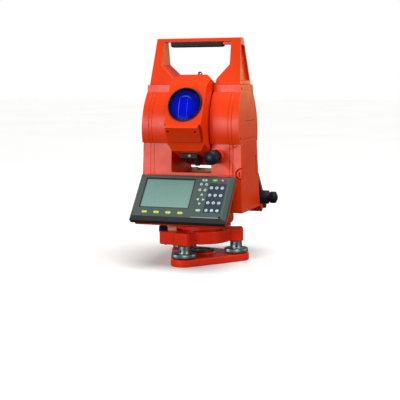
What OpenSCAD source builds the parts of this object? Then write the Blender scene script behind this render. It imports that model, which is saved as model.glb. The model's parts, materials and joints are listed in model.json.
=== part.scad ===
// Surveying total station on its three-screw tribrach.
// Millimetres. The origin is the centre of the base plate's underside, +Z is up,
// -Y is the front (keyboard and objective side) and +X is the right side seen from there.

/* [Tribrach] */
// Distance from the axis to each foot screw
foot_radius = 54; // [53:0.5:55]
// Direction of the front foot screw, in degrees
foot_first_deg = -100; // [-102:1:-98]
// Corner radius of the base plate, around each foot screw
plate_corner_r = 20; // [19:0.5:21]
// Thickness of the base plate
plate_t = 11; // [10.5:0.5:11]
// Wall radius of the tripod thread, 5/8 inch UNC
thread_r = 6.8; // [6.6:0.1:7]
// Underside of the tribrach body
block_z = 31; // [30.5:0.5:31.5]
// Height of the tribrach body
block_h = 19.5; // [19:0.5:20]
// Radius of a foot screw's knurled disc
disc_r = 18.7; // [18:0.1:19]

/* [Alidade] */
// Underside of the alidade's casting
casting_z = 82; // [81.5:0.5:82.5]
// Top of the standards, where the handle is bolted on
standard_z = 272; // [271:0.5:273]
// Half the gap between the standards
gap_half = 31.8; // [31.5:0.1:32]
// Height of the trunnion axis
trunnion_z = 218; // [217.5:0.5:218.5]
// Radius of the dish that the telescope swings through
dish_r = 88.5; // [88.3:0.1:89]
// Top of the carrying handle
handle_top_z = 342; // [340:1:344]

/* [Telescope] */
// Upward tilt of the telescope at rest, in degrees
tel_tilt = 20.5; // [15:0.5:25]
// Half width of the telescope housing
tel_half = 30; // [29.5:0.1:30]
// Radius of the objective's barrel at its front
objective_r = 25.9; // [25.7:0.1:26.2]
// Radius of the trunnion axles
axle_r = 9; // [8:0.5:9]

/* [Keyboards] */
// Lean of the keyboard's face, in degrees up from level
panel_lean = 50.6; // [49:0.2:52]
// Half width of the keyboard's case
panel_half = 74.6; // [73:0.2:75]
// Height of a hard key above the face
key_proud = 0.9; // [0.7:0.1:1]

/* [Hidden] */
$fn = 64;

paint = [0.93, 0.27, 0.10];
deep_red = [0.85, 0.16, 0.03];
bezel_grey = [0.30, 0.33, 0.31];
black = [0.07, 0.07, 0.08];
steel = [0.72, 0.73, 0.75];
glass = [0.45, 0.60, 0.65];

running = 0.05;       // radial clearance of every running fit
slip = 0.3;           // gap between pieces that move past each other freely
block_top = block_z + block_h;

// ---- shared shapes -------------------------------------------------------

// A cylinder along +X from x0 to x1
module x_rod(r, x0, x1) {
  translate([x0, 0, 0]) rotate([0, 90, 0]) cylinder(r = r, h = x1 - x0);
}

// A cylinder along -Y from y0 (nearer the middle) to y1 (further out)
module front_rod(r, y0, y1) {
  translate([0, y0, 0]) rotate([90, 0, 0]) cylinder(r = r, h = y0 - y1);
}

// Children drawn in the Y-Z plane, extruded along X from x0 to x1
module along_x(x0, x1) {
  translate([x0, 0, 0]) rotate([90, 0, 90]) linear_extrude(x1 - x0) children();
}

// Children drawn in the X-Z plane, extruded along Y from -depth to +depth
module along_y(depth) {
  rotate([90, 0, 0]) linear_extrude(2 * depth, center = true) children();
}

// Children once for each foot screw, turned to its direction
module each_foot(first = 0, last = 2) {
  for (i = [first:last]) rotate(foot_first_deg + 120 * i) children();
}

// A rectangle from (x0, y0) to (x1, y1) with round corners
module soft_box(x0, y0, x1, y1, r) {
  translate([x0 + r, y0]) square([x1 - x0 - 2 * r, y1 - y0]);
  translate([x0, y0 + r]) square([x1 - x0, y1 - y0 - 2 * r]);
  for (x = [x0 + r, x1 - r], y = [y0 + r, y1 - r]) translate([x, y]) circle(r);
}

// A slot outline with round ends
module pill(length, width) {
  square([length - width, width], center = true);
  for (x = [-1, 1]) translate([x * (length - width) / 2, 0]) circle(width / 2);
}

// A triangle with round corners about the foot screws
module round_triangle(corner) {
  hull() each_foot() translate([foot_radius, 0]) circle(corner, $fn = 72);
}

// ---- tribrach ------------------------------------------------------------

hub_r = 21;
bush_r = 14;
hub_z = plate_t + 3;
screw_r = 4;
seat_r = 4.5;
sleeve_r = 18;
spindle_r = 12;
flange_r = 46;
flange_z = 54;
flange_top = 58;
stud_ring = 27;
stud_r = 3.5;
lock_offset = 22;     // the lock's axis passes this far from the main axis
lock_z = 52.5;
lock_deg = foot_first_deg - 60;
level_deg = foot_first_deg + 180;
level_ring = 60;

module base_plate() {
  color(deep_red) difference() {
    union() {
      linear_extrude(plate_t) round_triangle(plate_corner_r);
      cylinder(r = hub_r, h = hub_z);
    }
    translate([0, 0, -1]) cylinder(r = bush_r, h = hub_z + 2);
    each_foot() translate([foot_radius, 0, 4]) cylinder(r = seat_r + running, h = plate_t);
  }
}

module thread_bush() {
  color(steel) difference() {
    cylinder(r = bush_r, h = hub_z + 1);
    translate([0, 0, -1]) cylinder(r = thread_r, h = hub_z + 3);
  }
}

module hub_ring() {
  color(black) translate([0, 0, hub_z]) difference() {
    cylinder(r = hub_r - 0.5, h = 2.4);
    translate([0, 0, -1]) cylinder(r = bush_r, h = 5);
  }
}

// The lock's own axis: children are drawn with +X pointing out along it
module at_lock() {
  rotate(lock_deg) translate([0, lock_offset, lock_z]) children();
}

module block_outline() {
  circle(45.5);
  each_foot() soft_box(20, -14, 65, 14, 5);
  rotate(foot_first_deg) soft_box(24, -40, 62.5, 0, 5);
  rotate(level_deg) translate([level_ring - 4, 0]) circle(13);
  rotate(level_deg) translate([0, -13]) square([level_ring - 4, 26]);
}

module tribrach_body() {
  cavity_z = block_z + 5;
  color(deep_red) difference() {
    translate([0, 0, block_z]) linear_extrude(block_h) block_outline();
    translate([0, 0, cavity_z]) cylinder(r = 34.6, h = block_top - 4 - cavity_z);
    translate([0, 0, block_z - 1]) cylinder(r = 17, h = block_h + 2);
    for (i = [0:2]) rotate(foot_first_deg + 60 + 120 * i) translate([stud_ring, 0, cavity_z])
      cylinder(r = stud_r, h = block_h);
    each_foot() translate([foot_radius, 0, block_z - 1]) cylinder(r = 7, h = 16);
    at_lock() x_rod(5.2, 38, 60);
    at_lock() x_rod(6.7, 51.5, 80);
    rotate(level_deg) translate([level_ring, 0, block_top - 3]) cylinder(r = 9, h = 5);
  }
}

module screw_bushes() {
  color(steel) each_foot() translate([foot_radius, 0, block_z]) difference() {
    cylinder(r = 7, h = 15);
    translate([0, 0, -1]) cylinder(r = screw_r + running, h = 15);
  }
}

// Turns under the three studs; each slot lets its stud pass while the ring turns
module clamp_ring() {
  color(steel) translate([0, 0, block_z + 6.5]) difference() {
    cylinder(r = 34, h = 4);
    translate([0, 0, -1]) cylinder(r = 20, h = 6);
    for (i = [0:2]) rotate(foot_first_deg + 60 + 120 * i) translate([0, 0, -1])
      rotate_extrude(angle = 40, start = -20)
        translate([stud_ring - stud_r - 0.4, 0]) square([2 * stud_r + 0.8, 6]);
  }
}

module lock_boss() {
  color([0.80, 0.66, 0.52]) difference() {
    at_lock() x_rod(5.2, 38, 51.6);
    at_lock() x_rod(2 + running, 37, 55);
    translate([0, 0, flange_z - 0.4]) cylinder(r = flange_r + 0.3, h = 10);
  }
}

module lock_knob() {
  color(black) at_lock() {
    x_rod(6.2, 52, 64);
    x_rod(4.6, 64, 65.2);
    x_rod(2, 43, 52);
  }
}

module centring_flange() {
  color(deep_red) difference() {
    union() {
      translate([0, 0, block_top]) cylinder(r = 38, h = flange_z - block_top);
      translate([0, 0, flange_z]) cylinder(r = flange_r, h = flange_top - flange_z);
      translate([0, 0, flange_top]) cylinder(r = sleeve_r, h = 40.5);
      for (i = [0:2]) rotate(foot_first_deg + 60 + 120 * i)
        translate([stud_ring, 0, block_z + 6]) cylinder(r = stud_r, h = block_h - 5);
    }
    translate([0, 0, block_top - 1]) cylinder(r = spindle_r + running, h = 60);
  }
}

module horizontal_circle() {
  color(glass) translate([0, 0, 86]) difference() {
    cylinder(r = 34, h = 2);
    translate([0, 0, -1]) cylinder(r = sleeve_r, h = 4);
  }
}

module circular_level() {
  color([0.85, 0.80, 0.55]) rotate(level_deg) translate([level_ring, 0, block_top - 3]) {
    cylinder(r = 9, h = 8);
    translate([0, 0, 8]) cylinder(r = 7.6, h = 1);
  }
}

module foot_screw(index) {
  disc_z = plate_t + 1.7;
  color(steel) each_foot(index, index) translate([foot_radius, 0, 0]) {
    difference() {
      union() {
        translate([0, 0, disc_z]) cylinder(r = disc_r, h = 5.8);
        translate([0, 0, disc_z]) cylinder(r = 9.3, h = block_z - disc_z - 0.6);
      }
      translate([0, 0, disc_z + 9]) rotate([0, 90, 0]) cylinder(r = 1.3, h = 12);
    }
    translate([0, 0, 4.2]) cylinder(r = seat_r, h = disc_z - 4.2);
    translate([0, 0, block_z - 0.6]) cylinder(r = screw_r, h = 13);
  }
}

module foot_screw_front() { foot_screw(0); }
module foot_screw_right() { foot_screw(1); }
module foot_screw_left() { foot_screw(2); }

// ---- alidade -------------------------------------------------------------

bottom_half_x = 81.3;
middle_half_x = 78;
top_half_x = 74.7;
middle_z = 187;
bottom_half_y = 46.7;
middle_half_y = 41;
top_half_y = 29.5;
bulge_low_z = 185;
bulge_high_z = 261.5;
bulge_z = 210;
bulge_r = 77.7;
front_reach = 50;     // how far the drum stands out in front
rear_reach = 47;
cover_x = 70.5;       // inner face of the side covers
circle_room_r = 31.5;
bearing_r = 14;
v_knob_x = 41.2;
v_knob_z = 166;
latch_x = 79;
latch_z = 140;
h_knob_y = 58;
h_knob_z = 94.5;
shaft_r = 3;
level_half = 28;      // the plate level sits in the rear of the dish
level_y = 38.5;
level_z = 133.5;
level_back = 31;
level_floor = 124;
tube_r = 3.6;
ledge_z = 185;        // the standards stand on the yoke here, under the drum's edge
cover_low_z = 191;
cover_high_z = 262.8;
bar_t = 5.6;          // thickness of the handle's top bar
grip_x0 = -45.8;
grip_x1 = 38.2;
grip_drop = 8;
grip_half_y = 6.6;
grip_sunk = 2;

module drum_arc(reach) {
  translate([bulge_r - reach, bulge_z]) circle(bulge_r, $fn = 96);
}

module side_outline() {
  polygon([[-bottom_half_y, casting_z], [-middle_half_y, bulge_low_z],
    [-30.2, bulge_high_z], [-top_half_y, standard_z], [top_half_y, standard_z],
    [30.2, bulge_high_z], [middle_half_y, bulge_low_z], [bottom_half_y, casting_z]]);
  intersection() {
    drum_arc(front_reach);
    mirror([1, 0]) drum_arc(rear_reach);
    translate([-60, bulge_low_z]) square([120, bulge_high_z - bulge_low_z]);
  }
}

module front_outline() {
  polygon([[-bottom_half_x, casting_z], [-middle_half_x, middle_z],
    [-top_half_x, standard_z], [top_half_x, standard_z],
    [middle_half_x, middle_z], [bottom_half_x, casting_z]]);
}

// The whole outer shape of the casting with its covers on
module alidade_shape() {
  intersection() {
    along_x(-90, 90) side_outline();
    along_y(70) front_outline();
  }
}

module upper_cover_outline() {
  intersection() {
    translate([58, 208]) circle(100, $fn = 128);
    translate([-61, 208]) circle(103, $fn = 128);
    translate([-60, cover_low_z]) square([120, cover_high_z - cover_low_z]);
  }
}

module battery_outline(inset) {
  polygon([[-28.8 + inset, 189 - inset], [37 - inset, 189 - inset],
    [44.5 - inset, 88 + inset], [-32.7 + inset, 88 + inset]]);
}

module lower_cover_outline() {
  polygon([[-40, 195], [40, 195], [43, 88], [-43, 88]]);
}

screw_places = [[-26.2, 265.8], [26.2, 265.8], [-44, 193]];
low_screw_y = 36;
low_screw_z = 94;
case_screw_r = 2;

module screw_holes(side) {
  for (p = screw_places) translate([0, p[0], p[1]])
    x_rod(case_screw_r, side > 0 ? 66 : -90, side > 0 ? 90 : -66);
  if (side < 0) for (y = [-low_screw_y, low_screw_y]) translate([0, y, low_screw_z])
    x_rod(case_screw_r, -90, -66);
}

// The drum-shaped room that the telescope turns in
module telescope_room() {
  translate([0, 0, trunnion_z]) x_rod(dish_r, -gap_half, gap_half);
  translate([-gap_half, -70, trunnion_z]) cube([2 * gap_half, 140, 80]);
}

module casting() {
  difference() {
    union() {
      alidade_shape();
      intersection() {
        translate([v_knob_x, 0, v_knob_z]) front_rod(10, -20, -50);
        translate([gap_half, -60, 140]) cube([60, 60, 60]);
      }
    }
    telescope_room();
    // trunnion bearings and the rooms behind the side covers
    translate([0, 0, trunnion_z]) x_rod(bearing_r, -60, 60);
    translate([0, 0, trunnion_z]) x_rod(circle_room_r, -cover_x, -52);
    translate([0, 0, trunnion_z]) x_rod(24, 52, cover_x);
    translate([-cover_x, -30, 96]) cube([cover_x - 45, 60, 84]);
    along_x(cover_x, 90) upper_cover_outline();
    along_x(-90, -cover_x) upper_cover_outline();
    along_x(-90, -cover_x) lower_cover_outline();
    screw_holes(1);
    screw_holes(-1);
    // battery bay, its door and its latch
    translate([40, -27, 92]) cube([60, 62, 93]);
    along_x(73.5, 90) battery_outline(0);
    translate([latch_x, 0, latch_z]) front_rod(9, -37.5, -60);
    // upright axis
    translate([0, 0, casting_z - 1]) cylinder(r = 36.5, h = 11);
    translate([0, 0, casting_z]) cylinder(r = 19, h = 17.1);
    translate([0, 0, 99]) cylinder(r = 24, h = 6);
    // shafts and the plate level
    translate([v_knob_x, 0, v_knob_z]) front_rod(shaft_r + running, -25, -60);
    translate([-level_half, level_back, level_floor]) cube([2 * level_half, 30, 40]);
  }
}

module yoke_frame() {
  color(paint) intersection() {
    casting();
    translate([-100, -100, 0]) cube([200, 200, ledge_z]);
  }
}

// Both standards above the ledge
module standards() {
  color(paint) intersection() {
    casting();
    translate([-100, -100, ledge_z]) cube([200, 200, 100]);
  }
}

module spindle() {
  color(steel) difference() {
    union() {
      translate([0, 0, 60]) cylinder(r = spindle_r, h = 39);
      translate([0, 0, 99]) cylinder(r = 24, h = 6);
    }
    translate([0, 0, 50]) cylinder(r = 5, h = 60);
  }
}

module base_skirt() {
  color(paint) rotate_extrude($fn = 96) polygon([[37, flange_top + 0.6], [45, flange_top + 0.6],
    [48.8, 60.6], [50.4, 64], [50.4, 70], [48.6, 77], [46, casting_z], [37, casting_z]]);
}

module side_cover(side) {
  intersection() {
    along_y(70) front_outline();
    along_x(side > 0 ? cover_x : -90, side > 0 ? 90 : -cover_x) children();
  }
}

module left_cover() {
  color(paint) difference() {
    union() {
      side_cover(-1) upper_cover_outline();
      side_cover(-1) lower_cover_outline();
    }
    screw_holes(-1);
  }
}

module right_cover() {
  color(paint) side_cover(1) upper_cover_outline();
}

module battery_pack() {
  color(paint) difference() {
    union() {
      intersection() {
        alidade_shape();
        along_x(73.8, 90) battery_outline(slip);
      }
      translate([41, -26.6, 92.4]) cube([33, 61.2, 92.2]);
    }
    // finger groove near the rear edge
    translate([70, 30.5, 131]) cube([20, 3.2, 32]);
  }
}

module battery_latch() {
  color(paint) difference() {
    intersection() {
      translate([latch_x, 0, latch_z]) front_rod(7, -40.2, -44.6);
      translate([60, -60, 120]) cube([19.6, 40, 40]);
    }
    translate([latch_x - 3.4, -46, latch_z - 3]) cube([1.8, 3, 6]);
  }
}

module handle_outline() {
  bar_z = handle_top_z - bar_t;
  difference() {
    polygon([[-72.5, standard_z], [-67.2, handle_top_z], [67.2, handle_top_z],
      [72.5, standard_z]]);
    polygon([[-32.6, standard_z - 1], [-34.6, 281], [-56, 302.5], [-54.8, bar_z],
      [52.4, bar_z], [53.4, 302.5], [34.6, 281], [32.6, standard_z - 1]]);
  }
}

module handle_frame() {
  color(paint) difference() {
    union() {
      intersection() {
        along_y(40) handle_outline();
        along_x(-80, 80) polygon([[-27.5, standard_z], [-7.6, handle_top_z],
          [7.6, handle_top_z], [27.5, standard_z]]);
      }
      // end block beside the grip
      translate([grip_x1 + slip, -grip_half_y, 331.6]) cube([15, 2 * grip_half_y, 6]);
    }
    // a sunk panel in each outer side, and the seat of the grip
    for (side = [-1, 1]) intersection() {
      along_x(side > 0 ? 55 : -80, side > 0 ? 80 : -55)
        polygon([[-21.5, 278], [-8, 330], [8, 330], [20.5, 278]]);
      translate([side * -4, 0, 0]) difference() {
        translate([-90, -40, 275]) cube([180, 80, 60]);
        along_y(50) polygon([[-72.5, standard_z], [-67.2, handle_top_z],
          [67.2, handle_top_z], [72.5, standard_z]]);
      }
    }
    translate([0, 0, handle_top_z - bar_t - 1]) linear_extrude(grip_sunk + 1) grip_outline();
    for (side = [-1, 1]) translate([side * 58, 0, standard_z - 1]) cylinder(r = 3, h = 14);
  }
}

module grip_outline() {
  soft_box(grip_x0, -grip_half_y, grip_x1, grip_half_y, 3);
}

module handle_grip() {
  color(black) translate([0, 0, handle_top_z - bar_t - grip_drop])
    linear_extrude(grip_drop + grip_sunk)
    grip_outline();
}

module casing_screws() {
  color(steel) {
    for (side = [-1, 1]) intersection() {
      screw_holes(side);
      translate([side * -1.2, 0, 0]) alidade_shape();
    }
    for (side = [-1, 1]) translate([side * 58, 0, standard_z]) cylinder(r = 3, h = 12);
  }
}

module trunnion_bearings() {
  color(steel) translate([0, 0, trunnion_z]) for (side = [-1, 1]) difference() {
    x_rod(bearing_r, side > 0 ? 33 : -50, side > 0 ? 50 : -33);
    x_rod(axle_r + running, -60, 60);
  }
}

module main_board() {
  color([0.1, 0.4, 0.2]) {
    translate([-60, -28, 98]) cube([1.6, 56, 80]);
    for (z = [104, 124, 144, 162]) translate([-64, -20, z]) cube([4, 18, 11]);
    for (z = [110, 140]) translate([-63, 6, z]) cube([3, 14, 20]);
    for (y = [-27, 21], z = [99, 171]) translate([-58.4, y, z]) cube([13.4, 6, 6]);
  }
}

// A curved cradle flush with the dish, with the tube in its window
module plate_level() {
  color([0.78, 0.62, 0.44]) {
    difference() {
      intersection() {
        translate([-level_half, level_back, level_floor]) cube([2 * level_half, 30, 40]);
        alidade_shape();
      }
      translate([0, 0, trunnion_z]) x_rod(dish_r, -60, 60);
      translate([-20, level_y - 5, level_z - 4]) cube([40, 10, 30]);
    }
    translate([0, level_y, level_z]) x_rod(tube_r, -20, 20);
  }
}

module tangent_housing() {
  color(paint) difference() {
    along_x(50, 76.6) polygon([[bottom_half_y, casting_z], [45.35, 106.4], [56.5, 106.4],
      [69, 91], [69, casting_z]]);
    translate([0, h_knob_y, h_knob_z]) x_rod(shaft_r + running, 54, 80);
  }
}

// A domed knob along +Z with its shaft behind it
module domed_knob(r, length, shaft) {
  intersection() {
    cylinder(r = r, h = length);
    translate([0, 0, length - 1.5 * r]) sphere(r = 1.5 * r, $fn = 96);
  }
  translate([0, 0, -shaft]) cylinder(r = shaft_r, h = shaft);
}

module clamp_knob(r, length) {
  difference() {
    union() {
      cylinder(r = r, h = length - 3);
      cylinder(r = 0.72 * r, h = length);
    }
    translate([0, 0, -1]) cylinder(r = shaft_r + running, h = length + 2);
  }
}

module at_v_knob(y) { translate([v_knob_x, y, v_knob_z]) rotate([90, 0, 0]) children(); }
module at_h_knob(x) { translate([x, h_knob_y, h_knob_z]) rotate([0, 90, 0]) children(); }

module vertical_clamp() { color(black) at_v_knob(-50.4) clamp_knob(10.7, 12.2); }
module vertical_tangent() { color(black) at_v_knob(-63) domed_knob(10.6, 14, 34); }
module horizontal_clamp() { color(black) at_h_knob(77) clamp_knob(10.7, 18); }
module horizontal_tangent() { color(black) at_h_knob(95.4) domed_knob(9.2, 11.4, 41); }

// ---- keyboards -----------------------------------------------------------

panel_y = -63.9;      // top of the face, at the front keyboard
panel_z = 138.3;
face_half = 69.1;
face_low = 72;        // distances down the face, from its top line
rim_high = -3.5;
rim_low = 77.5;
rim_t = 5.5;
bezel_t = 13;
shell_t = 24;
lcd_box = [-62.5, 5, 16.3, 57.2];
mat_box = [21, 3.5, 67.8, 69.5];
mat_skin = 3.6;
number_x = [44, 52.4, 60.7];
number_s = [20.3, 33.1, 46.1, 59.1];
round_keys = [[27.1, 14.7], [35.2, 14.9], [26.9, 24.5], [34.9, 24.6]];
arrow_keys = [[31.7, 32.9, 90], [27.4, 40.9, 180], [35.4, 41.1, 0], [31.1, 48.2, -90]];
enter_key = [31.6, 59.7];
number_key_r = 2.5;
round_key_r = 2.2;
arrow_key_r = 2.8;
key_l = 8.4;
key_w = 4;
top_keys = [[31.1, 7.4], [47, 7.4], [58.9, 7.4]];
f_keys = [for (i = [0:3]) [-51.1 + 18.7 * i, 65.4]];

// Children drawn on a keyboard's face: x to the right, y up the slope, z outwards
module on_panel(rear = false) {
  rotate([0, 0, rear ? 180 : 0]) translate([0, panel_y, panel_z])
    rotate([panel_lean, 0, 0]) children();
}

// Children drawn in the face's slope-and-depth plane, extruded across the width
module across(half) {
  rotate([90, 0, 90]) linear_extrude(2 * half, center = true) children();
}

module panel_block(half, high, low, top, bottom) {
  translate([-half, -low, -bottom]) cube([2 * half, low - high, bottom - top]);
}

module bezel_shape() {
  intersection() {
    across(90) polygon([[-rim_low, -bezel_t], [-rim_low, -rim_t], [-face_low, 0], [-2, 0],
      [-rim_high, -rim_t], [-rim_high, -bezel_t]]);
    rotate([90, 0, 0]) linear_extrude(200, center = true)
      polygon([[-panel_half, -bezel_t], [-panel_half, -rim_t], [-face_half, 0],
        [face_half, 0], [panel_half, -rim_t], [panel_half, -bezel_t]]);
  }
}

module face_cut(box, deep, from) {
  translate([box[0], -box[3], -deep]) cube([box[2] - box[0], box[3] - box[1], from]);
}

module mat_keys(grow) {
  for (x = number_x, s = number_s) translate([x, -s]) circle(number_key_r + grow);
  for (k = round_keys) translate([k[0], -k[1]]) circle(round_key_r + grow);
  for (k = arrow_keys) translate([k[0], -k[1]]) rotate(k[2])
    circle(arrow_key_r + 2 * grow, $fn = 3);
  translate([enter_key[0], -enter_key[1]]) pill(7.4 + 2 * grow, 3.8 + 2 * grow);
}

module hard_keys(grow) {
  for (k = concat(top_keys, f_keys)) translate([k[0], -k[1]])
    pill(key_l + 2 * grow, key_w + 2 * grow);
}

module bezel() {
  difference() {
    bezel_shape();
    face_cut(lcd_box, 5, 10);
    face_cut(mat_box, bezel_t + 1, bezel_t + 1 - mat_skin);
    translate([0, 0, -10]) linear_extrude(20) mat_keys(0.3);
    translate([0, 0, -3]) linear_extrude(10) hard_keys(0.25);
  }
}

module shell() {
  neck_half = 44;
  panel_block(71.5, 0, 74, bezel_t, shell_t);
  // the neck that joins the shell to the casting, drawn in the alidade's own axes
  rotate([-panel_lean, 0, 0]) translate([0, -panel_y, -panel_z])
    along_x(-neck_half, neck_half) polygon([[-44.45, 123], [-45.4, 123.1], [-74, 88.28],
      [-62, 85], [-46.56, 85]]);
}

module lcd() {
  inset = 0.1;
  translate([lcd_box[0] + inset, -lcd_box[3] + inset, -5])
    cube([lcd_box[2] - lcd_box[0] - 2 * inset, lcd_box[3] - lcd_box[1] - 2 * inset, 3.2]);
}

module keypad(with_hard_keys) {
  translate([mat_box[0] + slip, -mat_box[3] + slip, -6.2])
    cube([mat_box[2] - mat_box[0] - 2 * slip, mat_box[3] - mat_box[1] - 2 * slip, 2.4]);
  translate([0, 0, -4]) linear_extrude(4.8) mat_keys(0);
  if (with_hard_keys) translate([0, 0, -2.9]) linear_extrude(3.7) hard_keys(0);
}

module hard_key(place) {
  on_panel() translate([place[0], -place[1], -2.2])
    linear_extrude(2.2 + key_proud) pill(key_l, key_w);
}

module front_shell() { color(paint) on_panel() shell(); }
module front_bezel() { color(bezel_grey) on_panel() bezel(); }
module front_lcd() { color([0.5, 0.63, 0.58]) on_panel() lcd(); }
module front_keypad() { color([0.8, 0.85, 0.85]) on_panel() keypad(false); }
module rear_shell() { color(paint) on_panel(true) shell(); }
module rear_bezel() { color(bezel_grey) on_panel(true) bezel(); }
module rear_lcd() { color([0.5, 0.63, 0.58]) on_panel(true) lcd(); }
module rear_keypad() { color([0.8, 0.85, 0.85]) on_panel(true) keypad(true); }

module menu_key() { color([0.85, 0.87, 0.85]) hard_key(top_keys[0]); }
module star_key() { color([0.45, 0.75, 0.30]) hard_key(top_keys[1]); }
module power_key() { color([0.75, 0.05, 0.15]) hard_key(top_keys[2]); }
module f1_key() { color([0.93, 0.92, 0.45]) hard_key(f_keys[0]); }
module f2_key() { color([0.93, 0.92, 0.45]) hard_key(f_keys[1]); }
module f3_key() { color([0.93, 0.92, 0.45]) hard_key(f_keys[2]); }
module f4_key() { color([0.93, 0.92, 0.45]) hard_key(f_keys[3]); }

// ---- telescope -----------------------------------------------------------
// Drawn with +Z forwards along the sight line, +Y up and +X to the right.

barrel_back = 40;
barrel_step = 66;
barrel_front = 75;
lens_seat = 68.3;
bore_r = 20.5;
rear_face = -58;
sight_y = 57.9;
face_half_x = 28.2;    // half width of the housing's front face

module at_telescope() {
  translate([0, 0, trunnion_z]) rotate([90 - tel_tilt, 0, 0]) children();
}

// Children drawn with forwards as x and up as y, extruded across the width
module across_telescope(half) {
  rotate([0, -90, 0]) linear_extrude(2 * half, center = true) children();
}

module across_telescope_at(x0, x1) {
  translate([x1, 0, 0]) rotate([0, -90, 0]) linear_extrude(x1 - x0) children();
}

module telescope_shape() {
  intersection() {
    across_telescope(tel_half) polygon([[51.8, 54.8], [68.6, 31.5], [74.1, -30.6], [66, -36],
      [52, -52], [44, -63], [-30, -64], [-52, -50], [rear_face, -26], [rear_face, 30],
      [-50, 47], [-38, 54.8]]);
    linear_extrude(200, center = true) polygon([[-22, 54.8], [22, 54.8], [tel_half, 46.5],
      [tel_half, -53], [22, -64], [-22, -64], [-tel_half, -53], [-tel_half, 46.5]]);
    rotate([90, 0, 0]) linear_extrude(200, center = true) polygon([[-face_half_x, 80],
      [-face_half_x, 76], [-tel_half, 60], [-tel_half, -70], [tel_half, -70], [tel_half, 60],
      [face_half_x, 76], [face_half_x, 80]]);
  }
}

module telescope_housing() {
  color(paint) at_telescope() difference() {
    telescope_shape();
    translate([0, 0, rear_face - 1]) cylinder(r = bore_r, h = 120);
    translate([0, 0, barrel_back]) cylinder(r = 25.2, h = 40);
    translate([0, 0, barrel_step]) cylinder(r = objective_r, h = 40);
    x_rod(axle_r, -40, 40);
    // room for the distance meter under the main bore
    translate([-20, -56, -20]) cube([40, 28, 62]);
  }
}

module edm_cover() {
  color(paint) at_telescope() difference() {
    across_telescope(25.4) polygon([[74.1, -30.6], [79.1, -37.6], [57.6, -52.9], [52, -52],
      [66, -36]]);
    for (x = [-21.5, 21.5]) translate([x, -42.2, 72.6]) rotate([54.5, 0, 0]) translate([0, 0, -3])
      cylinder(r = 1.8, h = 10);
  }
}

module objective_barrel() {
  color(black) at_telescope() difference() {
    union() {
      translate([0, 0, barrel_step]) cylinder(r = objective_r, h = barrel_front - barrel_step);
      translate([0, 0, barrel_back]) cylinder(r = 25.2, h = barrel_step - barrel_back);
    }
    translate([0, 0, lens_seat]) cylinder(r = 25, h = 20);
    translate([0, 0, barrel_back - 1]) cylinder(r = 23, h = 40);
  }
}

module objective_lens() {
  color([0.1, 0.15, 0.75]) at_telescope() intersection() {
    translate([0, 0, lens_seat]) cylinder(r = 25, h = 6.5);
    translate([0, 0, lens_seat + 6.5 - 80]) sphere(r = 80, $fn = 128);
  }
}

module edm_unit() {
  color([0.2, 0.2, 0.22]) at_telescope() {
    translate([-19, -55, -18]) cube([38, 25, 58]);
  }
}

module trunnion_axles() {
  color(steel) translate([0, 0, trunnion_z]) {
    x_rod(axle_r, 21.5, 55);
    x_rod(axle_r, -62, -21.5);
  }
}

module vertical_circle() {
  color(glass) translate([0, 0, trunnion_z]) difference() {
    x_rod(30, -59, -57.4);
    x_rod(axle_r, -70, 0);
  }
}

module upper_sight() {
  color(black) at_telescope() difference() {
    union() {
      translate([8, sight_y, 43]) cylinder(r = 3, h = 5);
      translate([5, 54.8, 30]) cube([6, 2, 18]);
    }
    translate([8, sight_y, 40]) cylinder(r = 2.3, h = 20);
  }
}

module lower_sight() {
  color(black) at_telescope() {
    difference() {
      translate([-12, -70.5, 4]) cube([26, 6.6, 30]);
      translate([2, -67, 30]) cylinder(r = 2, h = 6);
    }
    across_telescope_at(6, 12) polygon([[4, -70.5], [24, -70.5], [18, -77], [14, -77]]);
  }
}

module eyepiece_tube() {
  color(black) at_telescope() difference() {
    union() {
      translate([0, 0, rear_face]) cylinder(r = bore_r, h = 40);
      translate([0, 0, -82]) cylinder(r = 7, h = 25);
    }
    translate([0, 0, -90]) cylinder(r = 5, h = 100);
  }
}

module focus_ring() {
  color(black) at_telescope() translate([0, 0, -69.6]) difference() {
    cylinder(r = 19, h = 11.2);
    translate([0, 0, -1]) cylinder(r = 7 + running, h = 14);
  }
}

module eyepiece_ring() {
  color(black) at_telescope() translate([0, 0, -81.6]) difference() {
    cylinder(r = 12, h = 11.6);
    translate([0, 0, -1]) cylinder(r = 7 + running, h = 14);
  }
}

base_plate();
thread_bush();
hub_ring();
tribrach_body();
screw_bushes();
clamp_ring();
lock_boss();
lock_knob();
centring_flange();
horizontal_circle();
circular_level();
foot_screw_front();
foot_screw_right();
foot_screw_left();
yoke_frame();
standards();
spindle();
base_skirt();
left_cover();
right_cover();
battery_pack();
battery_latch();
handle_frame();
handle_grip();
casing_screws();
front_shell();
front_bezel();
front_lcd();
front_keypad();
rear_shell();
rear_bezel();
rear_lcd();
rear_keypad();
trunnion_bearings();
main_board();
plate_level();
tangent_housing();
vertical_clamp();
vertical_tangent();
horizontal_clamp();
horizontal_tangent();
telescope_housing();
edm_cover();
objective_barrel();
objective_lens();
edm_unit();
trunnion_axles();
vertical_circle();
upper_sight();
lower_sight();
eyepiece_tube();
focus_ring();
eyepiece_ring();
power_key();
star_key();
menu_key();
f1_key();
f2_key();
f3_key();
f4_key();
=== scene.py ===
import json
import math

import bmesh
import bpy
from mathutils import Matrix, Vector

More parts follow.
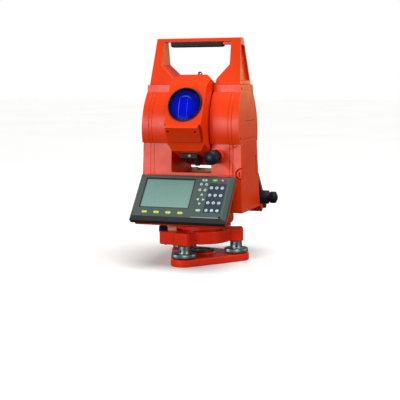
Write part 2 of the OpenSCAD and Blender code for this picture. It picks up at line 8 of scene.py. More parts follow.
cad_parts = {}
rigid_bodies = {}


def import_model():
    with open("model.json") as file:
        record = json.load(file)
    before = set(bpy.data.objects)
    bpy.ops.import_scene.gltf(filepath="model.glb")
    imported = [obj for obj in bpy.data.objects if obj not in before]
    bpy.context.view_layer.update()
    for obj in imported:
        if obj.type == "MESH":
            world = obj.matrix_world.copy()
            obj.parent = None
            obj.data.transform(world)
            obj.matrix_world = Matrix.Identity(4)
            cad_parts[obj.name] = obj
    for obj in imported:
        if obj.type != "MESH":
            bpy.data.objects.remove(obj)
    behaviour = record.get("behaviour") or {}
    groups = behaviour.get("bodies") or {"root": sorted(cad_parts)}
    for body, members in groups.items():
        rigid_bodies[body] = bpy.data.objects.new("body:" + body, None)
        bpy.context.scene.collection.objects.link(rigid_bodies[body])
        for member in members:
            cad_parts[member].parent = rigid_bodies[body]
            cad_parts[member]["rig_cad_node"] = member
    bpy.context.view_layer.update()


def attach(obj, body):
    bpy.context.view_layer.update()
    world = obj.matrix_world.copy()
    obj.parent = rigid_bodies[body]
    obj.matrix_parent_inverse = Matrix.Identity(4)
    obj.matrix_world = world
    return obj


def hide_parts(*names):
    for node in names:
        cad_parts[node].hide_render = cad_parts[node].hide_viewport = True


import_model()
scene = bpy.context.scene
scene.view_settings.view_transform = "Standard"

# ---- named values of the part, in millimetres and degrees ------------------------

MM = 0.001
TRUNNION_Z = 218
TEL_TILT = 20.5
PANEL_Y, PANEL_Z, PANEL_LEAN = -63.9, 138.3, 50.6
FOOT_R, FOOT_DEG = 54, -100
LOCK_DEG, LOCK_OFFSET, LOCK_Z = -160, 22, 52.5
LEVEL_DEG, LEVEL_RING, BLOCK_TOP = 80, 60, 50.5
V_KNOB_X, V_KNOB_Z = 41.2, 166
H_KNOB_Y, H_KNOB_Z = 58, 94.5
NUMBER_X = (44, 52.4, 60.7)
NUMBER_S = (20.3, 33.1, 46.1, 59.1)
ROUND_KEYS = ((27.1, 14.7), (35.2, 14.9), (26.9, 24.5), (34.9, 24.6))
F_KEYS = [(-51.1 + 18.7 * i, 65.4) for i in range(4)]
TOP_KEYS = {"menu": (31.1, 7.4), "star": (47, 7.4), "power": (58.9, 7.4)}


def turn(axis, degrees):
    return Matrix.Rotation(math.radians(degrees), 4, axis)


def shift(x, y, z):
    return Matrix.Translation((x, y, z))


AT_TEL = shift(0, 0, TRUNNION_Z) @ turn("X", 90 - TEL_TILT)
AT_PANEL = shift(0, PANEL_Y, PANEL_Z) @ turn("X", PANEL_LEAN)
AT_REAR = turn("Z", 180) @ AT_PANEL
AT_LOCK = turn("Z", LOCK_DEG) @ shift(0, LOCK_OFFSET, LOCK_Z) @ turn("Y", 90)
AT_LEVEL = turn("Z", LEVEL_DEG) @ shift(LEVEL_RING, 0, BLOCK_TOP - 3)


def at_foot(i):
    return turn("Z", FOOT_DEG + 120 * i) @ shift(FOOT_R, 0, 0)


def at_v_knob(y):
    return shift(V_KNOB_X, y, V_KNOB_Z) @ turn("X", 90)


def at_h_knob(x):
    return shift(x, H_KNOB_Y, H_KNOB_Z) @ turn("Y", 90)


def half_x(z):
    """Half width of the alidade's casing at height z."""
    if z < 187:
        return 81.3 + (78 - 81.3) * (z - 82) / 105
    return 78 + (74.7 - 78) * (z - 187) / 85


def front_y(z):
    """The front surface of a standard at height z, drum included."""
    if 185 < z < 261.5:
        return 27.7 - math.sqrt(77.7**2 - (z - 210) ** 2)
    if z <= 185:
        return -46.7 + (46.7 - 41) * (z - 82) / 103
    return -30.2 + 0.7 * (z - 261.5) / 10.5


# ---- camera, light and floor ------------------------------------------------------

cam_data = bpy.data.cameras.new("view")
cam_data.lens = 88.33
cam_data.sensor_width = 36
cam = bpy.data.objects.new("view", cam_data)
forward = Vector((-0.33912, 0.93200, -0.12797)).normalized()
right = Vector((0.94002, 0.34104, -0.00732)).normalized()
up = right.cross(forward).normalized()
right = forward.cross(up)
axes = Matrix((right, up, -forward)).transposed().to_4x4()
cam.matrix_world = Matrix.Translation((0.5157, -1.4228, 0.2890)) @ axes
scene.collection.objects.link(cam)
scene.camera = cam


def lamp(kind, place, target, power, tint=(1, 1, 1), **values):
    data = bpy.data.lights.new(kind.lower(), kind)
    data.energy = power
    data.color = tint
    for key, value in values.items():
        setattr(data, key, value)
    obj = bpy.data.objects.new(kind.lower(), data)
    way = Vector(target) - Vector(place)
    obj.matrix_world = Matrix.Translation(place) @ way.to_track_quat("-Z", "Y").to_matrix().to_4x4()
    obj.visible_camera = False
    scene.collection.objects.link(obj)


def softbox(place, target, size, power, tint=(1, 1, 1)):
    lamp("AREA", place, target, power, tint, shape="RECTANGLE", size=size[0], size_y=size[1])


softbox((-0.72, -1.75, 0.38), (0, 0, 0.18), (0.8, 0.55), 14.5)
softbox((-0.15, -0.9, 0.06), (0, 0, 0.04), (0.6, 0.08), 0.6)
softbox((1.7, -0.45, 0.4), (0, 0, 0.18), (0.7, 0.7), 7, (1, 0.94, 0.82))
softbox((0.8, 1.9, 0.45), (0, 0, 0.2), (1.2, 0.4), 3.5, (1, 0.72, 0.3))
softbox((-1.2, 0.9, 0.8), (0, 0, 0.2), (0.6, 0.9), 3)
lamp("SUN", (0.3, -0.25, 1), (0, 0, 0), 2.3, angle=math.radians(50))

world = bpy.data.worlds.new("studio")
world.use_nodes = True
sky = world.node_tree.nodes["Background"].inputs
sky["Color"].default_value = (1, 1, 1, 1)
seen = world.node_tree.nodes.new("ShaderNodeLightPath")
level = world.node_tree.nodes.new("ShaderNodeMapRange")
level.inputs["To Max"].default_value = 1.0
way = world.node_tree.nodes.new("ShaderNodeTexCoord")
split = world.node_tree.nodes.new("ShaderNodeSeparateXYZ")
high = world.node_tree.nodes.new("ShaderNodeMapRange")
for key, value in (("From Min", -0.5), ("From Max", 0.9), ("To Min", 0.04), ("To Max", 0.34)):
    high.inputs[key].default_value = value
world.node_tree.links.new(way.outputs["Generated"], split.inputs["Vector"])
world.node_tree.links.new(split.outputs["Z"], high.inputs["Value"])
world.node_tree.links.new(high.outputs["Result"], level.inputs["To Min"])
world.node_tree.links.new(seen.outputs["Is Camera Ray"], level.inputs["Value"])
world.node_tree.links.new(level.outputs["Result"], sky["Strength"])
scene.world = world

# ---- materials ---------------------------------------------------------------------


def srgb(r, g, b):
    def one(c):
        c /= 255
        return c / 12.92 if c <= 0.04045 else ((c + 0.055) / 1.055) ** 2.4

    return (one(r), one(g), one(b), 1)


class Graph:
    """A material's node tree, with short calls for the nodes used here."""

    def __init__(self, name):
        self.mat = bpy.data.materials.new(name)
        self.mat.use_nodes = True
        self.tree = self.mat.node_tree
        self.shader = self.tree.nodes["Principled BSDF"]
        self.place = self.new("ShaderNodeTexCoord").outputs["Object"]

    def new(self, kind, **values):
        node = self.tree.nodes.new(kind)
        for key, value in values.items():
            setattr(node, key, value)
        return node

    def put(self, socket, value):
        if isinstance(value, bpy.types.NodeSocket):
            self.tree.links.new(value, socket)
        else:
            socket.default_value = value

    def math(self, op, a, b=0.0, c=0.0):
        node = self.new("ShaderNodeMath", operation=op)
        for socket, value in zip(node.inputs, (a, b, c)):
            self.put(socket, value)
        return node.outputs[0]

    def noise(self, scale, detail=3.0, rough=0.55, where=None):
        node = self.new("ShaderNodeTexNoise")
        self.put(node.inputs["Vector"], where or self.place)
        node.inputs["Scale"].default_value = scale
        node.inputs["Detail"].default_value = detail
        node.inputs["Roughness"].default_value = rough
        return node.outputs["Fac"]

    def stretched(self, scale, stretch, detail=3.0):
        node = self.new("ShaderNodeMapping")
        self.put(node.inputs["Vector"], self.place)
        node.inputs["Scale"].default_value = stretch
        return self.noise(scale, detail, where=node.outputs["Vector"])

    def span(self, value, low, high, to_low, to_high, kind="LINEAR"):
        node = self.new("ShaderNodeMapRange", interpolation_type=kind)
        for key, item in zip(
            ("Value", "From Min", "From Max", "To Min", "To Max"), (value, low, high, to_low, to_high)
        ):
            self.put(node.inputs[key], item)
        return node.outputs["Result"]

    def mix(self, share, a, b, kind="MIX"):
        node = self.new("ShaderNodeMix", data_type="RGBA", blend_type=kind)
        self.put(node.inputs["Factor"], share)
        self.put(node.inputs["A"], a)
        self.put(node.inputs["B"], b)
        return node.outputs["Result"]

    def along(self, axis, origin=(0, 0, 0)):
        """Distance of the shaded point from origin along a unit axis, in millimetres."""
        node = self.new("ShaderNodeVectorMath", operation="DOT_PRODUCT")
        self.put(node.inputs[0], self.place)
        node.inputs[1].default_value = axis
        base = Vector(axis).dot(Vector(origin))
        return self.math("SUBTRACT", self.math("MULTIPLY", node.outputs["Value"], 1000), base)

    def inside(self, *pairs, soft=0.15):
        """1 where every value lies between its two limits, blended over soft."""
        total = None
        for value, low, high in pairs:
            edge = self.math("MINIMUM", self.math("SUBTRACT", value, low), self.math("SUBTRACT", high, value))
            total = edge if total is None else self.math("MINIMUM", total, edge)
        return self.span(total, -soft, soft, 0, 1)

    def bump(self, height, distance, strength=1.0, under=None):
        node = self.new("ShaderNodeBump")
        self.put(node.inputs["Height"], height)
        node.inputs["Distance"].default_value = distance * MM
        node.inputs["Strength"].default_value = strength
        if under is not None:
            self.put(node.inputs["Normal"], under)
        return node.outputs["Normal"]

    def finish(self, color, rough, normal, metallic=0.0, spec=0.5, coat=0.0, coat_rough=0.08, **more):
        s = self.shader.inputs
        self.put(s["Base Color"], color)
        self.put(s["Roughness"], rough)
        if normal is not None:
            self.put(s["Normal"], normal)
        s["Metallic"].default_value = metallic
        s["Specular IOR Level"].default_value = spec
        s["Coat Weight"].default_value = coat
        s["Coat Roughness"].default_value = coat_rough
        for key, value in more.items():
            s[key.replace("_", " ").title().replace("Ior", "IOR")].default_value = value
        return self.mat


# Painted shade: ambient occlusion made into a mask that darkens crevices and seams.
def crevice_shade(g, reach, dark=0.0, light=1.0):
    node = g.new("ShaderNodeAmbientOcclusion", samples=6)
    node.inputs["Distance"].default_value = reach * MM
    return g.span(node.outputs["AO"], 0.25, 0.95, dark, light)


def edges(g, radius):
    """1 on convex and concave edges within radius, 0 on flat faces."""
    soft = g.new("ShaderNodeBevel", samples=4)
    soft.inputs["Radius"].default_value = radius * MM
    flat = g.new("ShaderNodeNewGeometry")
    dot = g.new("ShaderNodeVectorMath", operation="DOT_PRODUCT")
    g.put(dot.inputs[0], soft.outputs["Normal"])
    g.put(dot.inputs[1], flat.outputs["Normal"])
    return g.span(dot.outputs["Value"], 0.99, 0.8, 0, 1)


def paint(name, color, deep, edge_highlight, rough=0.36, coat=0.0, spec=0.5):
    """Stove enamel on a casting: orange peel, slight tone drift, fine specks, painted shade in seams and
    crevices and a painted highlight on edges.
    """
    g = Graph(name)
    tone = g.mix(g.span(g.noise(16, 2), 0.3, 0.7, 0, 0.35), color, deep)
    # painted highlight along the edges
    tone = g.mix(g.span(edges(g, 0.9), 0, 1, 0, 0.5), tone, edge_highlight)
    # painted shade in crevices and seams
    tone = g.mix(g.span(crevice_shade(g, 5), 0, 1, 0.75, 0), tone, deep)
    speck = g.span(g.noise(2600, 1), 0.70, 0.78, 0, 0.25)
    tone = g.mix(speck, tone, deep)
    shine = g.math("ADD", g.span(g.noise(60, 3), 0.3, 0.7, rough - 0.05, rough + 0.06),
                   g.span(g.noise(1400, 2), 0.3, 0.7, -0.03, 0.03))
    skin = g.bump(g.noise(520, 2), 0.10, 0.30)
    skin = g.bump(g.noise(2400, 2), 0.03, 0.35, skin)
    return g.finish(tone, shine, skin, coat=coat, spec=spec)


def moulded(name, color, drift_and_highlight, rough=0.45, grain=1500, depth=0.05, spec=0.5, coat=0.0):
    """Moulded plastic or rubber with a fine spark-eroded grain, random tone drift and a painted highlight on
    the edges.
    """
    g = Graph(name)
    tone = g.mix(g.span(g.noise(40, 3), 0.3, 0.7, 0, 0.5), color, drift_and_highlight)
    # painted highlight along the edges
    tone = g.mix(g.span(edges(g, 0.5), 0, 1, 0, 0.6), tone, drift_and_highlight)
    shine = g.span(g.noise(300, 3), 0.3, 0.7, rough - 0.07, rough + 0.07)
    skin = g.bump(g.noise(grain, 3), depth, 0.6)
    return g.finish(tone, shine, skin, spec=spec, coat=coat)


def turned(name, color, dark, axis=(0.02, 0.02, 1), rough=0.24, metallic=1.0):
    """Machined metal with fine turning lines, slight tarnish and small nicks."""
    g = Graph(name)
    lines = g.stretched(2200, axis, 2)
    stain = g.noise(70, 4)
    tone = g.mix(g.span(stain, 0.45, 0.75, 0, 0.55), color, dark)
    tone = g.mix(g.span(lines, 0.35, 0.7, 0, 0.25), tone, dark)
    shine = g.math("ADD", g.span(stain, 0.3, 0.7, rough - 0.05, rough + 0.1),
                   g.span(lines, 0.3, 0.7, 0, 0.08))
    skin = g.bump(lines, 0.02, 0.35)
    skin = g.bump(g.noise(420, 2), 0.02, 0.2, skin)
    return g.finish(tone, shine, skin, metallic=metallic)


ORANGE = paint("enamel_orange", srgb(246, 68, 8), srgb(212, 26, 1), srgb(255, 120, 30), 0.33, spec=0.28)
RED = paint("enamel_red", srgb(250, 50, 6), srgb(214, 20, 1), srgb(255, 96, 36), 0.28, coat=0.08, spec=0.28)
INNER_RED = paint("enamel_inner", srgb(190, 34, 12), srgb(120, 14, 6), srgb(220, 60, 30), 0.5)
BLACK = moulded("black_moulded", srgb(20, 22, 26), srgb(52, 56, 62), 0.34)
RUBBER = moulded("black_rubber", srgb(20, 20, 22), srgb(44, 44, 46), 0.62, 900, 0.09)
# The knobs' blue-grey second colour is a painted sheen, laid on in random patches and along the edges.
KNOB = moulded("knob_plastic", srgb(8, 12, 22), srgb(26, 40, 70), 0.36, 1300, 0.04, spec=0.28)
STEEL = turned("turned_steel", srgb(146, 166, 169), srgb(104, 122, 126), rough=0.34)
DARK_STEEL = turned("oiled_screw", srgb(60, 58, 58), srgb(24, 22, 22), rough=0.35)
BRASS = turned("aged_brass", srgb(196, 158, 96), srgb(120, 84, 44), rough=0.32)
BEIGE = moulded("boss_plastic", srgb(240, 182, 144), srgb(204, 136, 100), 0.42, 1200, 0.05)
BOARD = moulded("board_green", srgb(20, 84, 52), srgb(34, 110, 70), 0.4, 700, 0.08)
WHITE_KEY = moulded("key_silicone", srgb(172, 192, 194), srgb(206, 218, 220), 0.5, 1700, 0.03)
RED_KEY = moulded("key_red", srgb(178, 14, 40), srgb(206, 40, 64), 0.42, 1700, 0.03)
GREEN_KEY = moulded("key_green", srgb(96, 176, 66), srgb(132, 204, 100), 0.42, 1700, 0.03)
YELLOW_KEY = moulded("key_yellow", srgb(200, 206, 84), srgb(222, 226, 130), 0.42, 1700, 0.03)
INK = moulded("legend_ink", srgb(24, 30, 36), srgb(40, 46, 52), 0.5, 2500, 0.01)
OLIVE_INK = moulded("legend_olive", srgb(84, 86, 26), srgb(100, 102, 40), 0.5, 2500, 0.01)
WHITE_INK = moulded("legend_white", srgb(236, 238, 236), srgb(214, 216, 216), 0.5, 2500, 0.01)
# A near-black material for the strips and rings of painted shade in the cover slit, the latch slot and the
# display recesses.
SHADE_DARK = moulded("painted_shade_dark", srgb(14, 24, 32), srgb(28, 44, 52), 0.5, 1200, 0.04)


def bezel_material(name, at):
    """Grey-green bezel with its printed number field, a pale painted highlight stripe under the keys, a
    painted highlight on its edges and painted shade on its lower rim.
    """
    g = Graph(name)
    turned_frame = at.to_3x3()
    origin = at.translation
    x = g.along(turned_frame.col[0], origin)
    s = g.math("MULTIPLY", g.along(turned_frame.col[1], origin), -1)
    high = g.along(turned_frame.col[2], origin)
    tone = g.mix(g.span(g.noise(22, 3), 0.3, 0.7, 0, 0.6), srgb(66, 84, 77), srgb(61, 77, 72))
    # painted highlight along the edges
    tone = g.mix(g.span(edges(g, 0.7), 0, 1, 0, 0.55), tone, srgb(112, 118, 112))
    tone = g.mix(g.span(g.noise(2400, 1), 0.62, 0.72, 0, 0.3), tone, srgb(60, 64, 62))
    field = g.inside((x, 39.2, 66.4), (s, 12.2, 63.2), (high, -0.3, 3))
    # painted highlight: a pale stripe along the lower edge under the keys
    highlight_line = g.inside((x, 22.4, 65.2), (s, 70.7, 71.7), (high, -0.4, 3))
    # painted shade on the lower rim, which faces down
    low_rim_shade = g.inside((s, 72.05, 90), soft=0.1)
    tone = g.mix(low_rim_shade, tone, srgb(38, 42, 42))
    tone = g.mix(field, tone, srgb(24, 44, 66))
    tone = g.mix(highlight_line, tone, srgb(132, 156, 186))
    shine = g.span(g.noise(260, 3), 0.3, 0.7, 0.40, 0.52)
    skin = g.bump(g.noise(1500, 3), 0.05, 0.5)
    skin = g.bump(g.math("ADD", field, highlight_line), 0.06, 0.6, skin)
    return g.finish(tone, shine, skin)


def lcd_material(name, at):
    """Grey-green display glass with a fine cell grid and a border darkened as painted shade from the recess
    wall.
    """
    g = Graph(name)
    f = at.to_3x3()
    x = g.along(f.col[0], at.translation)
    s = g.math("MULTIPLY", g.along(f.col[1], at.translation), -1)
    cell_x = g.math("PINGPONG", x, 0.21)
    cell_s = g.math("PINGPONG", s, 0.21)
    grid = g.math("MAXIMUM", g.span(cell_x, 0, 0.05, 1, 0), g.span(cell_s, 0, 0.05, 1, 0))
    unshaded_glass = g.inside((x, -59.6, 13.6), (s, 7.6, 54.8), soft=0.4)
    tone = g.mix(g.span(s, 5, 57, 0, 1), srgb(106, 144, 136), srgb(122, 158, 148))
    tone = g.mix(g.span(g.noise(9, 2), 0.3, 0.7, 0, 0.4), tone, srgb(112, 150, 142))
    tone = g.mix(g.math("MULTIPLY", grid, 0.02), tone, srgb(70, 96, 92))
    # painted shade: the border outside the clear glass is darkened
    tone = g.mix(g.span(unshaded_glass, 0, 1, 0.35, 0), tone, srgb(80, 104, 100))
    shine = g.span(g.noise(200, 2), 0.3, 0.7, 0.25, 0.28)
    return g.finish(tone, shine, g.bump(g.noise(12, 1), 0.002, 0.1), coat=0.35, coat_rough=0.05)


def lens_material():
    """Blue-coated objective with painted shading, vivid a little below the middle and near black at the rim,
    and painted reflections: two pale streaks and an arc.
    """
    g = Graph("coated_objective")
    f = AT_TEL.to_3x3()
    x = g.along(f.col[0], AT_TEL.translation)
    y = g.along(f.col[1], AT_TEL.translation)
    low = g.math("ADD", y, 5)
    away = g.math("SQRT", g.math("ADD", g.math("MULTIPLY", x, x), g.math("MULTIPLY", low, low)))
    # painted shading: vivid a little below the middle, darker towards the rim
    tone = g.mix(g.span(away, 6, 25, 0, 1, "SMOOTHSTEP"), srgb(8, 20, 208), srgb(6, 18, 108))
    rim = g.math("SQRT", g.math("ADD", g.math("MULTIPLY", x, x), g.math("MULTIPLY", y, y)))
    tone = g.mix(g.span(rim, 23.4, 25.0, 0, 1, "SMOOTHSTEP"), tone, srgb(4, 4, 18))
    # painted reflections: two pale vertical streaks
    for at_x, wide, light in ((-8.4, 0.5, 0.75), (4.6, 0.35, 0.45)):
        reflection_streak = g.span(g.math("ABSOLUTE", g.math("SUBTRACT", x, at_x)), 0.1, wide, 1, 0)
        fade = g.inside((y, -15, 7), soft=6)
        share = g.math("MULTIPLY", g.math("MULTIPLY", reflection_streak, fade), light)
        tone = g.mix(share, tone, srgb(120, 130, 240))
    # painted reflection: a pale arc near the top
    reflection_ring_offset = g.math("ABSOLUTE", g.math("SUBTRACT", rim, 13))
    arc = g.math("MULTIPLY", g.span(reflection_ring_offset, 0.2, 1.2, 1, 0), g.inside((x, -5, 8), (y, 6, 20), soft=3))
    tone = g.mix(g.math("MULTIPLY", arc, 0.55), tone, srgb(96, 110, 240))
    smear = g.span(g.noise(90, 3), 0.3, 0.7, 0.03, 0.09)
    return g.finish(tone, smear, g.bump(g.noise(160, 1), 0.003, 0.1), spec=0.02)


def vial_material(name, liquid, at, axis, half_bubble, across):
    """Liquid in glass with a bubble, a dark meniscus and graduation lines."""
    g = Graph(name)
    f = at.to_3x3()
    u = g.along(f.col[axis], at.translation)
    v = g.along(f.col[across], at.translation)
    wide = g.math("MULTIPLY", g.math("MULTIPLY", v, v), 1.6)
    away = g.math("SQRT", g.math("ADD", g.math("MULTIPLY", u, u), wide))
    bubble = g.span(away, half_bubble - 0.25, half_bubble + 0.1, 1, 0)
    edge = g.span(g.math("ABSOLUTE", g.math("SUBTRACT", away, half_bubble)), 0.05, 0.45, 1, 0)
    tone = g.mix(g.span(g.noise(50, 2), 0.3, 0.7, 0, 0.4), liquid, srgb(226, 232, 150))
    tone = g.mix(bubble, tone, srgb(238, 244, 206))
    tone = g.mix(g.math("MULTIPLY", edge, 0.8), tone, srgb(70, 84, 30))
    for mark in (half_bubble + 1.0, half_bubble + 3.0):
        ring = g.span(g.math("ABSOLUTE", g.math("SUBTRACT", g.math("ABSOLUTE", u), mark)), 0.08, 0.2, 1, 0)
        tone = g.mix(ring, tone, srgb(20, 22, 20))
    return g.finish(tone, g.span(g.noise(80, 2), 0.3, 0.7, 0.08, 0.16), None, coat=0.8, coat_rough=0.03)


def disc_glass(name):
    """Divided glass circle: pale blue-grey glass with a random tone."""
    g = Graph(name)
    tone = g.mix(g.span(g.noise(120, 4), 0.3, 0.7, 0, 1), srgb(150, 186, 190), srgb(176, 206, 208))
    return g.finish(tone, g.span(g.noise(90, 2), 0.3, 0.7, 0.06, 0.16), None, coat=0.6)


FRONT_BEZEL = bezel_material("bezel_front", AT_PANEL)
REAR_BEZEL = bezel_material("bezel_rear", AT_REAR)
FRONT_LCD = lcd_material("display_front", AT_PANEL)
REAR_LCD = lcd_material("display_rear", AT_REAR)
LENS = lens_material()
CIRCLE = disc_glass("divided_circle")

# ---- the CAD nodes: materials, softened edges ---------------------------------------

FINISH = {
    ORANGE: "yoke_frame standards base_skirt left_cover right_cover battery_pack battery_latch handle_frame "
    "front_shell rear_shell tangent_housing telescope_housing edm_cover",
    RED: "base_plate tribrach_body centring_flange",
    BLACK: "hub_ring objective_barrel upper_sight lower_sight eyepiece_tube edm_unit",
    STEEL: "screw_bushes clamp_ring spindle trunnion_bearings trunnion_axles thread_bush "
    "foot_screw_front foot_screw_right foot_screw_left casing_screws",
    BEIGE: "lock_boss",
    KNOB: "lock_knob vertical_clamp vertical_tangent horizontal_clamp horizontal_tangent",
    RUBBER: "handle_grip focus_ring eyepiece_ring",
    CIRCLE: "horizontal_circle vertical_circle",
    BRASS: "circular_level plate_level",
    BOARD: "main_board",
    FRONT_BEZEL: "front_bezel",
    REAR_BEZEL: "rear_bezel",
    FRONT_LCD: "front_lcd",
    REAR_LCD: "rear_lcd",
    LENS: "objective_lens",
    WHITE_KEY: "front_keypad rear_keypad menu_key",
    RED_KEY: "power_key",
    GREEN_KEY: "star_key",
    YELLOW_KEY: "f1_key f2_key f3_key f4_key",
}
node_objects = {o["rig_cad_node"]: o for o in scene.objects if "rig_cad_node" in o}
for material, names in FINISH.items():
    for name in names.split():
        node_objects[name].material_slots[0].material = material


CREASE_DEG = 28
MERGE_DEG = 0.8
FACE_WEIGHT = 60


def smoother():
    """Joins the split corners of a carried-over mesh and shades it smooth."""
    tree = bpy.data.node_groups.new("smooth_shell", "GeometryNodeTree")
    for way in ("INPUT", "OUTPUT"):
        tree.interface.new_socket("Geometry", in_out=way, socket_type="NodeSocketGeometry")
    chain = [tree.nodes.new("NodeGroupInput"), tree.nodes.new("GeometryNodeMergeByDistance")]
    chain[1].inputs["Distance"].default_value = 2e-6
    for domain in ("FACE", "EDGE"):
        chain.append(tree.nodes.new("GeometryNodeSetShadeSmooth"))
        chain[-1].domain = domain
    # steep edges keep a crease, for the nodes that aren't rounded off
    angle = tree.nodes.new("GeometryNodeInputMeshEdgeAngle")
    steep = tree.nodes.new("FunctionNodeCompare")
    steep.operation = "GREATER_THAN"
    tree.links.new(angle.outputs["Unsigned Angle"], steep.inputs[0])
    steep.inputs[1].default_value = math.radians(CREASE_DEG)
    crease = tree.nodes.new("GeometryNodeSetShadeSmooth")
    crease.domain = "EDGE"
    crease.inputs["Shade Smooth"].default_value = False
    tree.links.new(steep.outputs[0], crease.inputs["Selection"])
    chain.append(crease)
    chain.append(tree.nodes.new("NodeGroupOutput"))
    for a, b in zip(chain, chain[1:]):
        tree.links.new(a.outputs["Geometry"] if "Geometry" in a.outputs else a.outputs[0], b.inputs[0])
    return tree


SMOOTH = smoother()
# Merging the flat faces of these nodes first makes the rounding close their recesses or screw holes.
PIERCED = ("yoke_frame", "left_cover", "right_cover")


def soften(name, width):
    """Rounds a carried-over node's edges; a width of 0 leaves them crisp."""
    o = node_objects[name]
    o.modifiers.new("smooth", "NODES").node_group = SMOOTH
    if name not in PIERCED:
        flat = o.modifiers.new("flat", "DECIMATE")
        flat.decimate_type = "DISSOLVE"
        flat.angle_limit = math.radians(MERGE_DEG)
    if width:
        round_off = o.modifiers.new("round", "BEVEL")
        round_off.width = width * MM
        round_off.segments = 3
        round_off.limit_method = "ANGLE"
        round_off.angle_limit = math.radians(CREASE_DEG)
        round_off.use_clamp_overlap = False
        round_off.miter_outer = "MITER_ARC"
        round_off.harden_normals = False
    weigh = o.modifiers.new("weigh", "WEIGHTED_NORMAL")
    weigh.weight = FACE_WEIGHT
    weigh.keep_sharp = not width


WIDTHS = {
    "yoke_frame": 0.8, "standards": 0, "left_cover": 0.5, "right_cover": 0.5, "battery_pack": 0.5,
    "handle_frame": 0.9, "base_skirt": 0.5, "front_shell": 1.2, "rear_shell": 1.2, "tangent_housing": 1.2,
    "telescope_housing": 0.9,
    "edm_cover": 0.5, "base_plate": 1.2, "tribrach_body": 1.6, "centring_flange": 0.6, "front_bezel": 0.45,
    "rear_bezel": 0.45, "front_keypad": 0.4, "rear_keypad": 0.4, "objective_barrel": 0.3, "upper_sight": 0.3,
    "lower_sight": 0.5, "battery_latch": 0.4, "lock_boss": 0.5, "hub_ring": 0.4,
    "eyepiece_tube": 0.4, "edm_unit": 0.5, "main_board": 0.2, "spindle": 0.3, "menu_key": 0.7,
    "star_key": 0.7, "power_key": 0.7, "f1_key": 0.7, "f2_key": 0.7, "f3_key": 0.7, "f4_key": 0.7,
}
for name, width in WIDTHS.items():
    soften(name, width)
for name in ("front_lcd", "rear_lcd", "objective_lens", "screw_bushes", "clamp_ring", "trunnion_bearings",
             "trunnion_axles", "horizontal_circle", "vertical_circle"):
    soften(name, 0)

# ---- building new pieces ---------------------------------------------------------------


def link(name, bm, body, material, stands_for=(), sharp=32):
    bmesh.ops.recalc_face_normals(bm, faces=bm.faces)
    mesh = bpy.data.meshes.new(name)
    bm.to_mesh(mesh)
    bm.free()
    for face in mesh.polygons:
        face.use_smooth = True
    mesh.set_sharp_from_angle(angle=math.radians(sharp))
    mesh.materials.append(material)
    obj = bpy.data.objects.new(name, mesh)
    scene.collection.objects.link(obj)
    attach(obj, body)
    if stands_for:
        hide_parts(*stands_for)
    return obj


def lathe(bm, at, profile, steps=96, teeth=0, depth=0.0, closed=False):
    """Turns (radius, z, kind) points round local Z. Kind 1 is knurled, kind 2 a hexagon."""
    rings = []
    for point in profile:
        r, z = point[0], point[1]
        kind = point[2] if len(point) > 2 else 0
        if r < 1e-6:
            rings.append([bm.verts.new(at @ Vector((0, 0, z)) * MM)])
            continue
        ring = []
        for i in range(steps):
            a = 2 * math.pi * i / steps
            radius = r
            if kind == 1:
                wave = abs((i * teeth / steps) % 1 * 2 - 1)
                radius -= depth * (1 - wave) ** 1.5
            elif kind == 2:
                radius *= math.cos(math.pi / 6) / math.cos(a % (math.pi / 3) - math.pi / 6)
            ring.append(bm.verts.new(at @ Vector((radius * math.cos(a), radius * math.sin(a), z)) * MM))
        rings.append(ring)
    pairs = list(zip(rings, rings[1:])) + ([(rings[-1], rings[0])] if closed else [])
    for a, b in pairs:
        for i in range(steps):
            j = (i + 1) % steps
            if len(a) == 1 and len(b) == 1:
                break
            if len(a) == 1:
                bm.faces.new((a[0], b[i], b[j]))
            elif len(b) == 1:
                bm.faces.new((a[i], a[j], b[0]))
            else:
                bm.faces.new((a[i], a[j], b[j], b[i]))


def prism(bm, at, outline, z0, z1):
    low = [bm.verts.new(at @ Vector((x, y, z0)) * MM) for x, y in outline]
    high = [bm.verts.new(at @ Vector((x, y, z1)) * MM) for x, y in outline]
    bm.faces.new(low[::-1])
    bm.faces.new(high)
    for i in range(len(outline)):
        j = (i + 1) % len(outline)
        bm.faces.new((low[i], low[j], high[j], high[i]))


def block(bm, at, low, high):
    outline = [(low[0], low[1]), (high[0], low[1]), (high[0], high[1]), (low[0], high[1])]
    prism(bm, at, outline, low[2], high[2])


def frame_ring(bm, at, outer, inner, z0, z1):
    """A rectangular ring between two (x0, y0, x1, y1) boxes."""
    def corners(b):
        return [(b[0], b[1]), (b[2], b[1]), (b[2], b[3]), (b[0], b[3])]

    loops = [[bm.verts.new(at @ Vector((x, y, z)) * MM) for x, y in corners(b)]
             for b, z in ((outer, z0), (outer, z1), (inner, z1), (inner, z0))]
    for k in range(4):
        a, b = loops[k], loops[(k + 1) % 4]
        for i in range(4):
            j = (i + 1) % 4
            bm.faces.new((a[i], a[j], b[j], b[i]))


def words(bm, at, text, size, height=0.06):
    """A raised legend centred on local (0, 0)."""
    curve = bpy.data.curves.new("legend", "FONT")
    curve.body = text
    curve.size = size * MM
    curve.align_x = curve.align_y = "CENTER"
    curve.extrude = height / 2 * MM
    curve.resolution_u = 3
    obj = bpy.data.objects.new("legend", curve)
    mesh = bpy.data.meshes.new_from_object(obj)
    place = at.copy()
    place.translation = at.translation * MM
    mesh.transform(place)
    bm.from_mesh(mesh)
    bpy.data.objects.remove(obj)
    bpy.data.meshes.remove(mesh)


def hex_screw(bm, at, r, deep=1.2, shank=2.0):
    """A socket screw head whose top is at local z = 0."""
    lathe(bm, at, [(0, -deep), (0.5 * r, -deep, 2), (0.5 * r, -0.1, 2), (0.56 * r, 0, 2), (0.8 * r, 0),
                   (r, -0.25), (r, -deep - 0.2), (0.6 * r, -deep - 0.2), (0.6 * r, -deep - shank),
                   (0, -deep - shank)], 24)


# ---- tribrach ---------------------------------------------------------------------------

